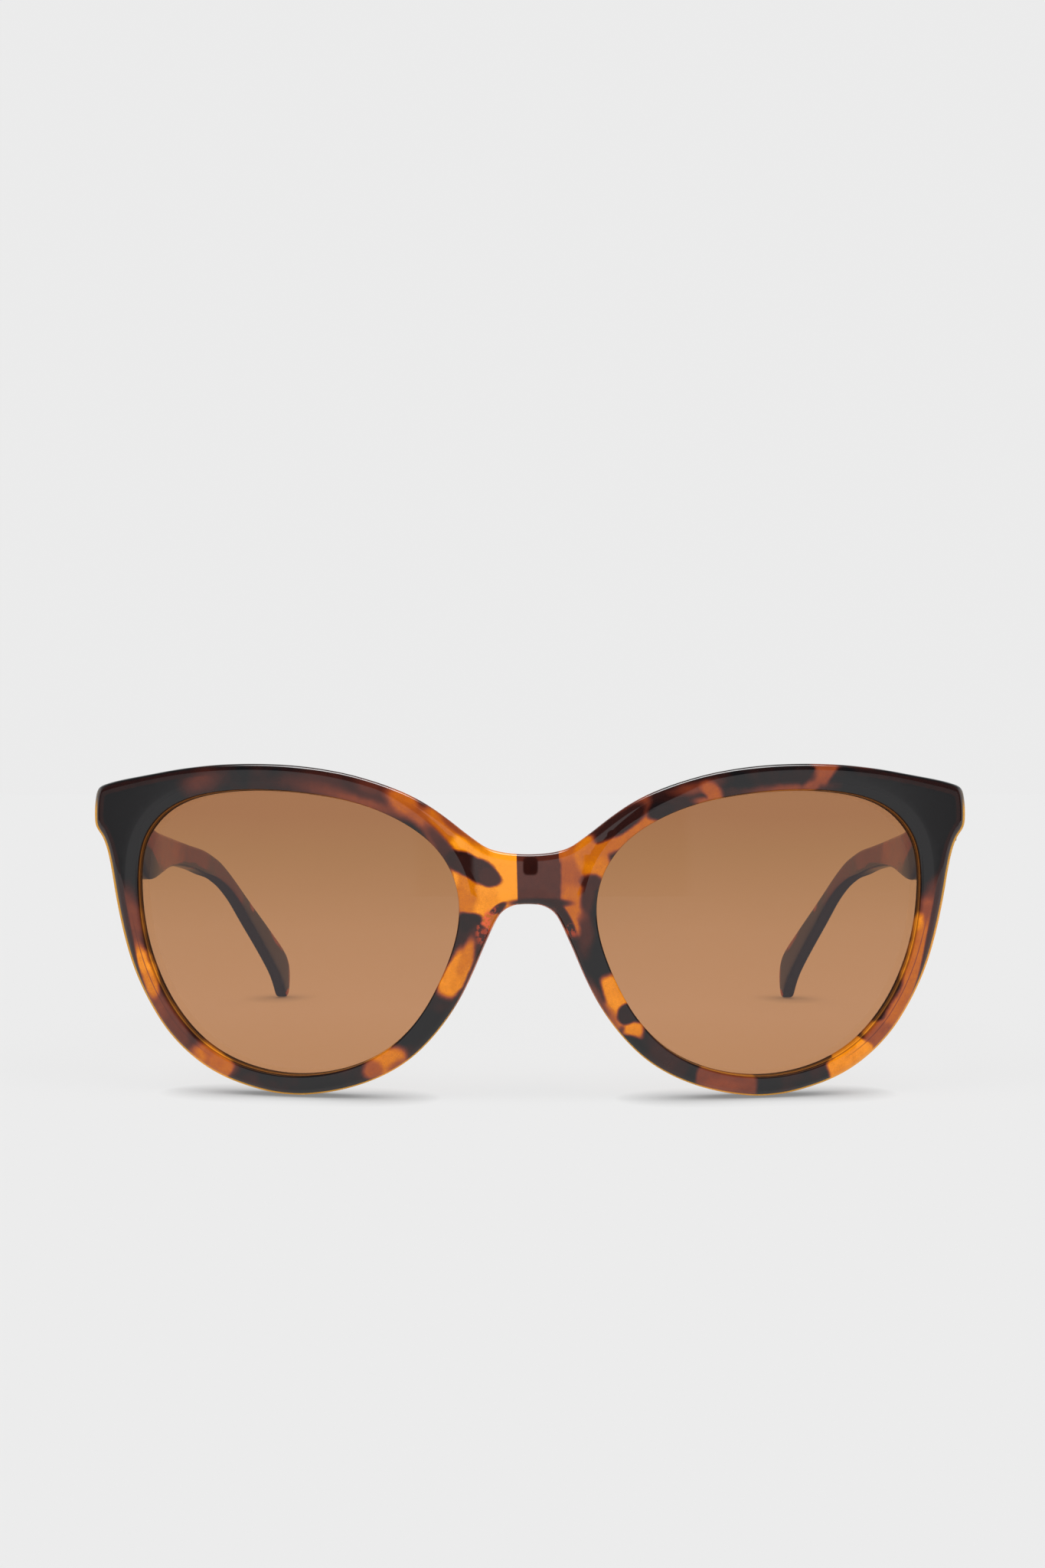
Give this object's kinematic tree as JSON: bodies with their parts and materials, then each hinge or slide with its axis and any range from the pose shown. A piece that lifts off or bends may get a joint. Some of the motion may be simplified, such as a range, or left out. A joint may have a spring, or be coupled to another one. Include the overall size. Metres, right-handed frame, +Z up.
{
  "type": "cat eye sunglasses",
  "caption": "Cat eye sunglasses with a glossy tortoiseshell plastic front, brown tinted lenses, bonded nose pads and curved temples that fold inward on metal barrel hinges.",
  "frame": {"origin": "under the middle of the box of the open glasses, on the plane they rest on", "axes": "+X to the viewer's right when facing the front (the wearer's left), +Y back along the open temples, +Z up"},
  "size_m": [0.142, 0.1522, 0.0528],
  "materials": {
    "tortoise_front": "polished tortoiseshell plastic: near-black and dark brown with amber and red-brown patches",
    "tortoise_temple": "polished tortoiseshell plastic, slightly softer shine than the front",
    "nose_pad": "translucent amber and brown plastic, satin",
    "brown_lens": "brown tinted plastic lens, polished, a little lighter towards the bottom",
    "hinge_metal": "nickel-plated brass, fine brushed",
    "screw_metal": "bright steel, slotted heads"
  },
  "bodies": {
    "front": {"front_frame": "tortoise_front", "lens_left": "brown_lens", "nose_pad_left": "nose_pad", "front_hinge_leaf_left": "hinge_metal", "front_leaf_screw_left_lower": "screw_metal", "front_leaf_screw_left_upper": "screw_metal", "hinge_screw_left": "screw_metal", "lens_right": "brown_lens", "nose_pad_right": "nose_pad", "front_hinge_leaf_right": "hinge_metal", "front_leaf_screw_right_lower": "screw_metal", "front_leaf_screw_right_upper": "screw_metal", "hinge_screw_right": "screw_metal"},
    "temple_left": {"temple_left": "tortoise_temple", "temple_hinge_leaf_left": "hinge_metal", "temple_leaf_screw_left_front": "screw_metal", "temple_leaf_screw_left_rear": "screw_metal"},
    "temple_right": {"temple_right": "tortoise_temple", "temple_hinge_leaf_right": "hinge_metal", "temple_leaf_screw_right_front": "screw_metal", "temple_leaf_screw_right_rear": "screw_metal"}
  },
  "joints": [
    {"name": "temple_left_fold", "type": "hinge", "parent": "front", "child": "temple_left", "pos_m": [-0.06355, -0.05433, 0.0452], "axis": [0, 0, -1], "range_deg": [0, 90]},
    {"name": "temple_right_fold", "type": "hinge", "parent": "front", "child": "temple_right", "pos_m": [0.06355, -0.05433, 0.0452], "axis": [0, 0, 1], "range_deg": [0, 86]}
  ]
}
